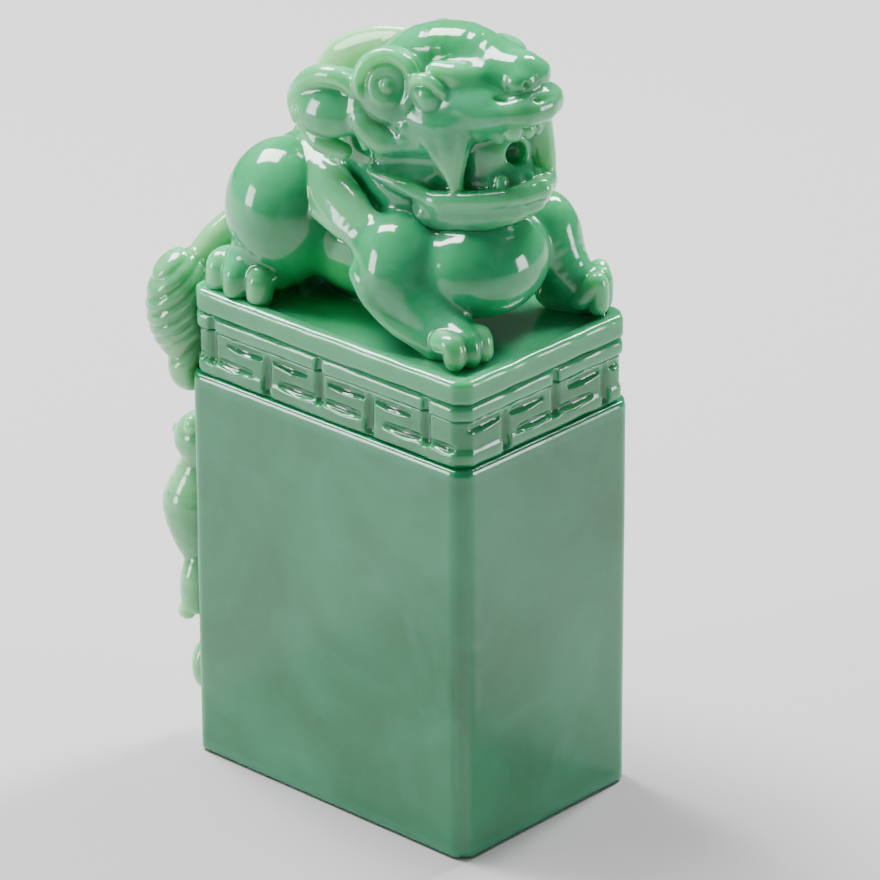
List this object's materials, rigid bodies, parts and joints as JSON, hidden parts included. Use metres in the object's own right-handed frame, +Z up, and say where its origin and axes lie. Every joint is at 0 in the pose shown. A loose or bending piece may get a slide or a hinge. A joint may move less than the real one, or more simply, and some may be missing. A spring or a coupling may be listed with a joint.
{
  "type": "carved lion seal",
  "caption": "Rectangular carved stone seal with a crouching guardian lion on top, a key-fret border and a climbing cub on the rear face.",
  "frame": {"origin": "centre of the flat sealing face that the seal stands on", "axes": "+Z up along the block, -Y towards the lion's front, +X towards the lion's left, long side of the block along Y"},
  "size_m": [0.0226, 0.0373, 0.0677],
  "materials": {
    "block_jade": "polished, translucent pale bluish green",
    "border_jade": "polished, translucent mid green",
    "green_jade": "highly polished, translucent vivid green",
    "pale_jade": "highly polished, translucent pale yellowish green"
  },
  "bodies": {
    "root": {"belly": "green_jade", "brow_left": "green_jade", "brow_right": "green_jade", "cheek_left": "green_jade", "cheek_right": "green_jade", "chest": "green_jade", "crest": "green_jade", "crest_fin": "pale_jade", "cub_back": "pale_jade", "cub_foreleg": "pale_jade", "cub_head": "pale_jade", "cub_hind_paw": "pale_jade", "cub_tail": "pale_jade", "ear_left": "green_jade", "ear_right": "green_jade", "eye_left": "pale_jade", "eye_right": "pale_jade", "fang_left": "pale_jade", "fang_right": "pale_jade", "fret_row_lower": "border_jade", "fret_row_upper": "border_jade", "haunch_left": "green_jade", "haunch_right": "green_jade", "hind_leg_left": "green_jade", "hind_leg_right": "green_jade", "hind_paw_left": "pale_jade", "hind_paw_right": "pale_jade", "left_fore_paw": "pale_jade", "left_foreleg": "green_jade", "lower_jaw": "green_jade", "lower_teeth": "pale_jade", "mane_curl_left": "green_jade", "mane_curl_right": "green_jade", "nape": "green_jade", "neck": "green_jade", "platform": "border_jade", "right_fore_paw": "pale_jade", "right_foreleg": "green_jade", "rim": "border_jade", "rump": "green_jade", "seal_block": "block_jade", "shoulder_lock_left": "green_jade", "shoulder_lock_right": "green_jade", "side_mane_left": "green_jade", "side_mane_right": "green_jade", "skull": "green_jade", "snout": "green_jade", "spine_ridge": "green_jade", "tail": "green_jade", "tail_tuft": "pale_jade", "tongue": "green_jade", "upper_bead": "border_jade", "upper_lip": "green_jade", "upper_teeth": "pale_jade"}
  },
  "joints": []
}
